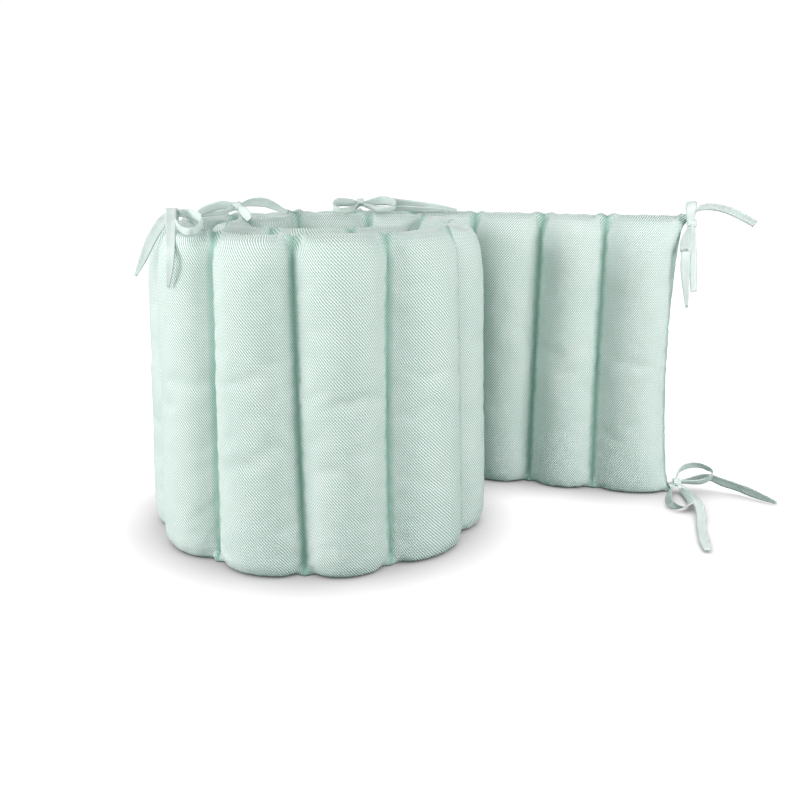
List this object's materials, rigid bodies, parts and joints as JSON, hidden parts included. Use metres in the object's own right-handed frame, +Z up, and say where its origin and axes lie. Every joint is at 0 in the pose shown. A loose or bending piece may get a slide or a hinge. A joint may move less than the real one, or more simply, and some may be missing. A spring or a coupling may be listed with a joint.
{
  "type": "crib bumper",
  "caption": "Quilted cloth crib bumper with upright filled channels, rolled up and stood on its long edge with one end left straight, and ribbon ties knotted into bows.",
  "frame": {"origin": "middle of the footprint, on the surface that the bumper stands on", "axes": "+Z up, +X from the roll along the straight end, -Y towards the front of the roll"},
  "size_m": [0.6506, 0.3452, 0.3187],
  "materials": {
    "quilted_cloth": "pale mint cotton with a fine raised diagonal weave, matt",
    "ribbon": "plain woven mint ribbon with a soft sheen"
  },
  "bodies": {
    "root": {"bumper_pad": "quilted_cloth", "tie_left": "ribbon", "tie_inner": "ribbon", "tie_back": "ribbon", "tie_end_top": "ribbon", "tie_end_foot": "ribbon"}
  },
  "joints": []
}
